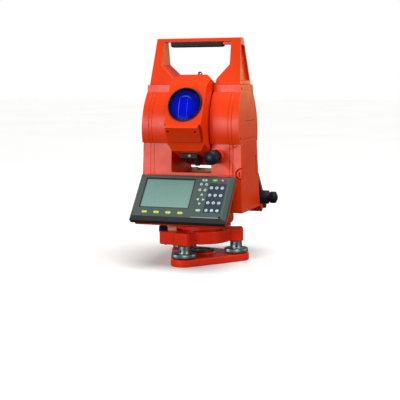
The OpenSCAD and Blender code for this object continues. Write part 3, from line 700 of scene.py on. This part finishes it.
DISC_Z = 12.7
for i, node in enumerate(("foot_screw_front", "foot_screw_right", "foot_screw_left")):
    bm = bmesh.new()
    lathe(bm, at_foot(i), [
        (0, 4.2), (3.9, 4.2), (4.5, 4.8), (4.5, DISC_Z), (17.6, DISC_Z), (18.3, DISC_Z + 0.3),
        (18.7, DISC_Z + 0.8, 1), (18.7, DISC_Z + 5.0, 1), (18.3, DISC_Z + 5.5), (17.4, DISC_Z + 5.8),
        (12.4, DISC_Z + 5.8), (12.0, DISC_Z + 5.5), (10.4, DISC_Z + 5.5), (9.6, DISC_Z + 5.8),
        (9.3, DISC_Z + 6.6), (9.3, 24.6), (9.0, 24.9), (9.0, 25.5), (9.3, 25.8), (9.3, 29.8),
        (8.7, 30.4), (4.0, 30.4), (4.0, 43.0), (3.6, 43.4), (0, 43.4)], 288, 72, 0.45)
    screw = link(node + "_turned", bm, node, STEEL, (node,))
    cut = bmesh.new()
    for k in range(4):
        side = at_foot(i) @ shift(0, 0, DISC_Z + 9) @ turn("Z", 90 * k) @ turn("Y", 90)
        lathe(cut, side, [(0, 5.5), (1.3, 5.5), (1.3, 12), (0, 12)], 20)
    holes = link(node + "_pin_holes", cut, node, DARK_STEEL)
    holes.hide_render = holes.hide_viewport = True
    drill = screw.modifiers.new("drill", "BOOLEAN")
    drill.operation, drill.object, drill.solver = "DIFFERENCE", holes, "EXACT"
    screw.data.materials.append(DARK_STEEL)

bm = bmesh.new()
PITCH, THREAD_DEEP, BUSH_R, BUSH_TOP = 2.309, 0.75, 14, 15
rows, cols = 66, 60
wall = []
for j in range(rows + 1):
    z = BUSH_TOP * j / rows
    ring = []
    for i in range(cols):
        a = 2 * math.pi * i / cols
        wave = abs((z / PITCH - a / (2 * math.pi)) % 1 * 2 - 1)
        r = 6.8 + THREAD_DEEP * wave
        ring.append(bm.verts.new(Vector((r * math.cos(a), r * math.sin(a), z)) * MM))
    wall.append(ring)
rims = []
for r, z in ((BUSH_R - 0.4, 0), (BUSH_R, 0.4), (BUSH_R, BUSH_TOP - 0.4), (BUSH_R - 0.4, BUSH_TOP)):
    around = [2 * math.pi * i / cols for i in range(cols)]
    rims.append([bm.verts.new(Vector((r * math.cos(a), r * math.sin(a), z)) * MM) for a in around])
for a, b in zip(wall + rims[::-1], wall[1:] + rims[::-1] + [wall[0]]):
    for i in range(cols):
        bm.faces.new((a[i], a[(i + 1) % cols], b[(i + 1) % cols], b[i]))
link("thread_bush_cut", bm, "tribrach", STEEL, ("thread_bush",), 40)

bm = bmesh.new()
lathe(bm, AT_LOCK, [
    (0, 43), (2, 43), (2, 52), (5.2, 52), (5.9, 52.4), (6.2, 53, 1), (6.2, 62.6, 1), (5.9, 63.4), (5.2, 64),
    (4.6, 64), (4.6, 64.9), (4.3, 65.2), (0, 65.2)], 144, 24, 0.55)
link("lock_knob_ribbed", bm, "lock_knob", KNOB, ("lock_knob",))

bm = bmesh.new()
for x, y in ((-39.5, -51.5), (14.2, -33)):
    lathe(bm, shift(x, y, 31) @ turn("X", 180), [(0, 1.4), (1.2, 1.4), (1.6, 1.0), (1.6, -1), (0, -1)], 24)
link("tribrach_set_screws", bm, "tribrach", DARK_STEEL)

bm = bmesh.new()
lathe(bm, AT_LEVEL, [(0, 0), (9, 0), (9, 6.8), (8.6, 7.6), (8.0, 8.0), (7.7, 8.4), (7.4, 9.0), (6.9, 9.0),
                     (6.7, 8.2), (0, 8.2)], 64)
link("circular_level_case", bm, "tribrach", BLACK, ("circular_level",))
bm = bmesh.new()
lathe(bm, AT_LEVEL, [(0, 8.9), (3, 8.8), (5, 8.6), (6.6, 8.2), (6.6, 8.0), (0, 8.0)], 48)
bull_eye = vial_material("bull_eye_liquid", srgb(200, 214, 70), AT_LEVEL, 0, 1.6, 1)
link("circular_level_vial", bm, "tribrach", bull_eye)

# ---- alidade ------------------------------------------------------------------------------

bm = bmesh.new()
for side in (-1, 1):
    places = [(-26.2, 265.8), (26.2, 265.8), (-44, 193)] + ([(-36, 94), (36, 94)] if side < 0 else [])
    for y, z in places:
        top = shift(side * (half_x(z) - 1.2), y, z) @ turn("Y", 90 * side)
        hex_screw(bm, top, 1.95, 1.0, 4.0)
    hex_screw(bm, shift(side * 58, 0, 284), 2.95, 1.6, 10.0)
link("casing_socket_screws", bm, "alidade", DARK_STEEL, ("casing_screws",))

bm = bmesh.new()
lathe(bm, at_v_knob(-50.4), [
    (3.05, 0), (10.1, 0), (10.7, 0.6, 1), (10.7, 8.4, 1), (10.3, 9.2), (8.4, 9.3), (7.9, 9.6), (7.7, 10.2),
    (7.7, 11.8), (7.3, 12.2), (3.05, 12.2)], 216, 36, 0.45, closed=True)
link("vertical_clamp_ribbed", bm, "vertical_clamp", KNOB, ("vertical_clamp",))


def domed(name, at, r, length, shaft, teeth):
    big = 1.5 * r
    rise = length - big
    start = rise + math.sqrt(big * big - r * r)
    arc = []
    for k in range(9):
        part = r * 0.96 * k / 8
        arc.append((part, rise + math.sqrt(big * big - part * part) - 0.02))
    profile = [(0, -shaft), (3, -shaft), (3, 0), (r - 0.5, 0), (r, 0.5, 1), (r, start - 1.4, 1),
               (r, start - 0.9)]
    bm = bmesh.new()
    lathe(bm, at, profile + arc[::-1], 40 * 6, teeth, 0.4)
    link(name + "_ribbed", bm, name, KNOB, (name,), 40)


domed("vertical_tangent", at_v_knob(-63), 10.6, 14, 34, 44)
domed("horizontal_tangent", at_h_knob(95.4), 9.2, 11.4, 41, 40)

bm = bmesh.new()
lathe(bm, at_h_knob(77), [
    (3.05, 0), (10.1, 0), (10.7, 0.6, 1), (10.7, 14.0, 1), (10.3, 14.9), (8.4, 15.1), (7.9, 15.4), (7.7, 16),
    (7.7, 17.6), (7.3, 18), (3.05, 18)], 216, 36, 0.45, closed=True)
link("horizontal_clamp_ribbed", bm, "horizontal_clamp", KNOB, ("horizontal_clamp",))

# grip strip: a rounded bar with cross ribs along its underside
bm = bmesh.new()
GRIP_MID, GRIP_HALF, GRIP_Y, GRIP_LOW, GRIP_HIGH = -3.8, 42, 6.6, 328.4, 338.4
sections = []
count = 132
for k in range(count + 1):
    x = -GRIP_HALF + 2 * GRIP_HALF * k / count
    end = min(1.0, (GRIP_HALF - abs(x)) / 2.5)
    y = GRIP_Y - 1.2 * (1 - math.sqrt(max(0.0, 1 - (1 - end) ** 2)))
    low = GRIP_LOW + (0.55 if k % 4 in (0, 1) else 0.0) + 1.2 * (1 - end)
    loop = [(-y, GRIP_HIGH), (-y, low + 1.6), (-y + 0.6, low + 0.6), (-y + 1.8, low), (y - 1.8, low),
            (y - 0.6, low + 0.6), (y, low + 1.6), (y, GRIP_HIGH)]
    sections.append([bm.verts.new(Vector((GRIP_MID + x, a, b)) * MM) for a, b in loop])
for a, b in zip(sections, sections[1:]):
    for i in range(8):
        bm.faces.new((a[i], a[(i + 1) % 8], b[(i + 1) % 8], b[i]))
bm.faces.new(sections[0])
bm.faces.new(sections[-1][::-1])
link("handle_grip_ribbed", bm, "alidade", RUBBER, ("handle_grip",), 40)

# plate level: the curved cradle stays, its tube is a new piece on it
LEVEL_Y, LEVEL_Z = 38.5, 133.5
tube_at = shift(0, LEVEL_Y, LEVEL_Z) @ turn("X", 30)
bm = bmesh.new()
tube = [(0, -19.9), (3.2, -19.9), (3.6, -19.4), (3.75, 0), (3.6, 19.4), (3.2, 19.9), (0, 19.9)]
lathe(bm, tube_at @ turn("Y", 90), tube, 48)
link("plate_level_tube", bm, "alidade", vial_material("spirit", srgb(206, 216, 96), tube_at, 0, 5.2, 1))

# ---- grooves and screw wells, cut by hidden tools, and dark strips of painted shade for slits ---


def cutter(name, bm, body, *nodes):
    tool = link(name, bm, body, INNER_RED)
    tool.hide_render = tool.hide_viewport = True
    for node in nodes:
        o = node_objects[node]
        cut = o.modifiers.new(name, "BOOLEAN")
        cut.operation, cut.object, cut.solver = "DIFFERENCE", tool, "EXACT"
        o.modifiers.move(len(o.modifiers) - 1, len(o.modifiers) - 2)


def groove(bm, x, z0, z1, wide, deep):
    """A strip that follows a standard's front from z0 to z1, deep into it and 2 mm out."""
    steps = max(2, int((z1 - z0) / 3))
    rows = []
    for k in range(steps + 1):
        z = z0 + (z1 - z0) * k / steps
        y = front_y(z)
        slope = (front_y(z + 0.05) - front_y(z - 0.05)) / 0.1 if z0 < z < z1 else 0
        n = Vector((0, -1, slope)).normalized()
        base = Vector((x, y, z))
        rows.append([bm.verts.new((base + n * out + Vector((dx, 0, 0))) * MM)
                     for out, dx in ((-deep, -wide / 2), (2, -wide / 2), (2, wide / 2), (-deep, wide / 2))])
    for a, b in zip(rows, rows[1:]):
        for i in range(4):
            bm.faces.new((a[i], a[(i + 1) % 4], b[(i + 1) % 4], b[i]))
    bm.faces.new(rows[0])
    bm.faces.new(rows[-1][::-1])


bm = bmesh.new()
for side in (-1, 1):
    for x in (60.5, 66.0):
        groove(bm, side * x, 185.6, 261.0, 0.8, 0.7)
        groove(bm, side * x, 92, 184.4, 0.8, 0.7)
cutter("standard_grooves", bm, "alidade", "yoke_frame", "standards")

# painted shade: a thin dark strip stands for the shaded slit in the side cover
bm = bmesh.new()
lean = math.degrees(math.atan2(half_x(187) - half_x(272), 85))
block(bm, shift(half_x(217.7), 6, 217.7) @ turn("Y", -lean), (-0.6, -24, -0.45), (0.04, 24, 0.45))
link("cover_slit_shade", bm, "alidade", SHADE_DARK)
# painted shade: a dark sheet laid on the bottom of the latch slot
bm = bmesh.new()
block(bm, shift(75.6, -43, 137), (0.02, -0.12, 0.02), (1.78, 0.04, 5.98))
link("latch_slot_shade", bm, "battery_latch", SHADE_DARK)

SCREW_CORNERS = ((66.2, 70.3), (65.8, 0.0), (-70.6, -0.6), (-70.9, 69.7))
for name, at in (("front", AT_PANEL), ("rear", AT_REAR)):
    bm = bmesh.new()
    for x, s in SCREW_CORNERS:
        lathe(bm, at @ shift(x, -s, 0), [(0, -4.6), (1.9, -4.6), (1.9, 3), (0, 3)], 24)
    cutter(name + "_screw_wells", bm, "alidade", name + "_bezel")
    bm = bmesh.new()
    for x, s in SCREW_CORNERS:
        hex_screw(bm, at @ shift(x, -s, -3.6), 1.75, 0.7, 1.0)
    link(name + "_bezel_screws", bm, "alidade", DARK_STEEL)
    # painted shade: a dark ring round the display, where the recess wall shades its edge
    bm = bmesh.new()
    frame_ring(bm, at, (-62.5, -57.2, 16.3, -5), (-60.9, -55.6, 14.7, -6.9), -1.8, -1.2)
    link(name + "_lcd_shade_ring", bm, "alidade", SHADE_DARK)
    bm = bmesh.new()
    for row, s in enumerate(NUMBER_S):
        for col, x in enumerate(NUMBER_X):
            digit = ("789", "456", "123", "0.-")[row][col]
            words(bm, at @ shift(x, -s, 0.8), digit, 3.0)
    link(name + "_digits", bm, "alidade", INK)

bm = bmesh.new()
for x, s in ROUND_KEYS:
    lathe(bm, AT_PANEL @ shift(x, -s, 0.8), [(0, 0.05), (0.75, 0.05), (0.75, 0), (0, 0)], 20)
link("front_key_dots", bm, "alidade", INK)


def legend(name, key, material, at, draw):
    bm = bmesh.new()
    draw(bm, at)
    link(name, bm, key, material)


for i, (x, s) in enumerate(F_KEYS):
    legend(f"f{i + 1}_legend", f"f{i + 1}_key", OLIVE_INK, AT_PANEL @ shift(x, -s, 0.9),
           lambda bm, at, i=i: words(bm, at, f"F{i + 1}", 3.0))


def star(bm, at):
    points = []
    for k in range(10):
        a = math.pi / 2 + k * math.pi / 5
        r = 1.5 if k % 2 == 0 else 0.62
        points.append((r * math.cos(a), r * math.sin(a)))
    prism(bm, at, points, 0, 0.06)


def bars(bm, at):
    for y in (-0.85, 0, 0.85):
        block(bm, at, (-1.5, y - 0.22, 0), (1.5, y + 0.22, 0.06))


def power(bm, at):
    outer, inner = [], []
    for k in range(25):
        a = math.radians(125 + 290 * k / 24)
        outer.append((1.35 * math.cos(a), 1.35 * math.sin(a)))
        inner.append((0.95 * math.cos(a), 0.95 * math.sin(a)))
    for k in range(24):
        prism(bm, at, [outer[k], outer[k + 1], inner[k + 1], inner[k]], 0, 0.06)
    block(bm, at, (-0.2, 0.2, 0), (0.2, 1.5, 0.06))


for key, ink, draw in (("star", WHITE_INK, star), ("menu", INK, bars), ("power", WHITE_INK, power)):
    x, s = TOP_KEYS[key]
    legend(key + "_legend", key + "_key", ink, AT_PANEL @ shift(x, -s, 0.9), draw)

# ---- telescope -----------------------------------------------------------------------------

bm = bmesh.new()
lathe(bm, AT_TEL, [
    (7.05, -69.6), (17.6, -69.6), (18.6, -69.1), (19, -68.5, 1), (19, -59.4, 1), (18.6, -58.8), (17.8, -58.4),
    (7.05, -58.4)], 288, 48, 0.55, closed=True)
link("focus_ring_ribbed", bm, "focus_ring", RUBBER, ("focus_ring",))
bm = bmesh.new()
lathe(bm, AT_TEL, [
    (7.05, -81.6), (10.4, -81.6), (11.4, -81.0), (11.6, -79.6), (12, -78.8, 1), (12, -71.0, 1), (11.6, -70.3),
    (7.05, -70)], 192, 32, 0.45, closed=True)
link("eyepiece_ring_ribbed", bm, "eyepiece_ring", RUBBER, ("eyepiece_ring",))
bm = bmesh.new()
lathe(bm, AT_TEL, [(0, -79.2), (2, -79.3), (4, -79.8), (4.95, -80.2), (4.95, -78.4), (0, -78.4)], 40)
link("eyepiece_glass", bm, "telescope", LENS)
# window of the lower sight: the lens is real, its pale grey colour is a painted glint
bm = bmesh.new()
lathe(bm, AT_TEL @ shift(2, -67, 34), [(0, -0.6), (1.9, -0.6), (1.95, 0.0), (1.6, 0.25), (0, 0.5)], 32)
link("lower_sight_window_glint", bm, "telescope", WHITE_KEY)
bm = bmesh.new()
for x in (-21.5, 21.5):
    at = AT_TEL @ shift(x, -42.2, 72.6) @ turn("X", 54.5) @ shift(0, 0, -1.8)
    hex_screw(bm, at, 1.7, 0.7, 0.6)
link("edm_cover_screws", bm, "telescope", DARK_STEEL)

# ---- floor ------------------------------------------------------------------------------------

g = Graph("studio_floor")
tone = g.mix(g.span(g.noise(1.5, 2), 0.3, 0.7, 0, 1), srgb(244, 244, 242), srgb(250, 250, 249))
shine = g.span(g.noise(6, 2), 0.3, 0.7, 0.7, 0.8)
floor_look = g.finish(tone, shine, g.bump(g.noise(200, 2), 0.05, 0.1), spec=0.2,
                      emission_color=(1, 1, 1, 1), emission_strength=0.12)
bm = bmesh.new()
bmesh.ops.create_grid(bm, x_segments=8, y_segments=8, size=9, matrix=Matrix.Translation((0, 0, -0.0001)))
mesh = bpy.data.meshes.new("floor")
bm.to_mesh(mesh)
bm.free()
mesh.materials.append(floor_look)
floor = bpy.data.objects.new("floor", mesh)
floor.visible_diffuse = floor.visible_glossy = False
scene.collection.objects.link(floor)
